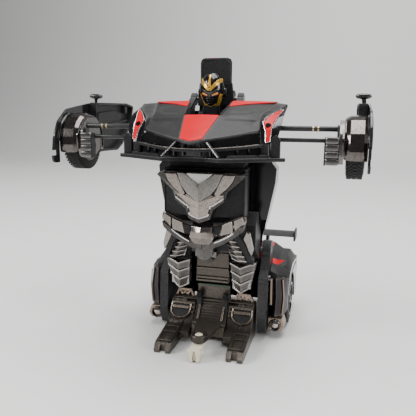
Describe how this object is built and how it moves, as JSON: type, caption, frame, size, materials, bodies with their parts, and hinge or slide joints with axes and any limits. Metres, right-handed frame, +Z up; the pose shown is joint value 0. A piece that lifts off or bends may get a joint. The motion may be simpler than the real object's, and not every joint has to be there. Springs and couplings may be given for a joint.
{
  "type": "transforming robot car",
  "caption": "Toy robot that folds forward into a sports car, with sliding arms that carry the front wheels, a hood chest and feet that retract.",
  "frame": {"origin": "on the table under the middle of the robot's box", "axes": "+Z up, the robot faces -Y, +X towards its right arm's side in the view from the front"},
  "size_m": [0.202, 0.1385, 0.1945],
  "materials": {
    "gloss_black": "gloss",
    "satin_black": "satin",
    "gloss_red": "gloss",
    "gunmetal": "glitter metallic paint",
    "bright_silver": "bright metallic paint",
    "bronze": "dark metallic paint",
    "gold": "metallic paint",
    "smoke_chrome": "smoked chrome",
    "chrome": "plated",
    "tyre": "moulded",
    "cream": "moulded",
    "steel": "turned",
    "cell_wrap": "printed sleeve without text",
    "board": "solder mask",
    "lens": "clear"
  },
  "bodies": {
    "base": {"chassis_frame": "satin_black", "left_side_pod": "satin_black", "right_side_pod": "satin_black", "rear_axles": "steel", "rear_body": "gloss_black", "spoiler": "gloss_black", "rear_liners": "smoke_chrome", "lower_lamps": "chrome", "drive_motor": "steel", "circuit_board": "board", "fold_hinge_pin": "steel", "chassis_screws": "steel"},
    "rear_left_wheel": {"rear_left_rim": "chrome", "rear_left_tyre": "tyre"},
    "rear_right_wheel": {"rear_right_rim": "chrome", "rear_right_tyre": "tyre"},
    "feet": {"foot_block": "bronze", "foot_ribs": "bronze"},
    "caster": {"caster_fork": "cream", "caster_pin": "steel"},
    "caster_roller": {"caster_wheel": "cream"},
    "torso": {"torso_frame": "satin_black", "battery_cells": "cell_wrap", "battery_cover": "satin_black", "back_shell": "satin_black", "v_armour": "gunmetal", "waist_shield": "bright_silver", "pelvis": "gunmetal", "leg_plate": "bronze", "thighs": "bright_silver", "shins": "gunmetal", "head_core": "gloss_black", "face_mask": "gold", "roof_panel": "satin_black"},
    "chest": {"chest_frame": "satin_black", "rod_guide": "satin_black", "hood": "gloss_black", "nose_stripe": "gloss_red", "hood_wedges": "gloss_red", "bumper": "gloss_black", "splitter": "gloss_black", "headlights": "gloss_black", "headlight_leds": "lens", "chest_hinge_pin": "steel"},
    "left_arm": {"left_fist": "bright_silver", "left_rods": "satin_black", "left_arch_liner": "smoke_chrome", "left_fender": "gloss_black", "left_mirror": "smoke_chrome"},
    "right_arm": {"right_fist": "bright_silver", "right_rods": "satin_black", "right_arch_liner": "smoke_chrome", "right_fender": "gloss_black", "right_mirror": "smoke_chrome"},
    "front_left_wheel": {"front_left_rim": "chrome", "front_left_tyre": "tyre"},
    "front_right_wheel": {"front_right_rim": "chrome", "front_right_tyre": "tyre"}
  },
  "joints": [
    {"name": "torso_fold", "type": "hinge", "parent": "base", "child": "torso", "pos_m": [0, 0.008, 0.061], "axis": [1, 0, 0], "range_deg": [0, 90]},
    {"name": "chest_level", "type": "hinge", "parent": "torso", "child": "chest", "pos_m": [0, -0.004, 0.168], "axis": [1, 0, 0], "range_deg": [-90, 0]},
    {"name": "left_arm_slide", "type": "slide", "parent": "chest", "child": "left_arm", "axis": [1, 0, 0], "range_m": [0, 0.0485]},
    {"name": "right_arm_slide", "type": "slide", "parent": "chest", "child": "right_arm", "axis": [-1, 0, 0], "range_m": [0, 0.0485]},
    {"name": "feet_slide", "type": "slide", "parent": "base", "child": "feet", "axis": [0, 1, 0], "range_m": [0, 0.05]},
    {"name": "front_left_wheel_spin", "type": "hinge", "parent": "left_arm", "child": "front_left_wheel", "pos_m": [-0.092, -0.024, 0.1375], "axis": [1, 0, 0], "continuous": true},
    {"name": "front_right_wheel_spin", "type": "hinge", "parent": "right_arm", "child": "front_right_wheel", "pos_m": [0.092, -0.024, 0.1375], "axis": [1, 0, 0], "continuous": true},
    {"name": "rear_left_wheel_spin", "type": "hinge", "parent": "base", "child": "rear_left_wheel", "pos_m": [-0.0465, 0.029, 0.0185], "axis": [1, 0, 0], "continuous": true},
    {"name": "rear_right_wheel_spin", "type": "hinge", "parent": "base", "child": "rear_right_wheel", "pos_m": [0.0465, 0.029, 0.0185], "axis": [1, 0, 0], "continuous": true},
    {"name": "caster_swivel", "type": "hinge", "parent": "feet", "child": "caster", "pos_m": [0, -0.046, 0.01], "axis": [0, 0, 1], "continuous": true},
    {"name": "caster_roll", "type": "hinge", "parent": "caster", "child": "caster_roller", "pos_m": [0, -0.053, 0.0045], "axis": [1, 0, 0], "continuous": true}
  ],
  "couplings": [
    {"joint": "chest_level", "follows": "torso_fold", "ratio": -1},
    {"joint": "left_arm_slide", "follows": "torso_fold", "m_per_rad": 0.030876},
    {"joint": "right_arm_slide", "follows": "torso_fold", "m_per_rad": 0.030876},
    {"joint": "feet_slide", "follows": "torso_fold", "m_per_rad": 0.03183}
  ]
}
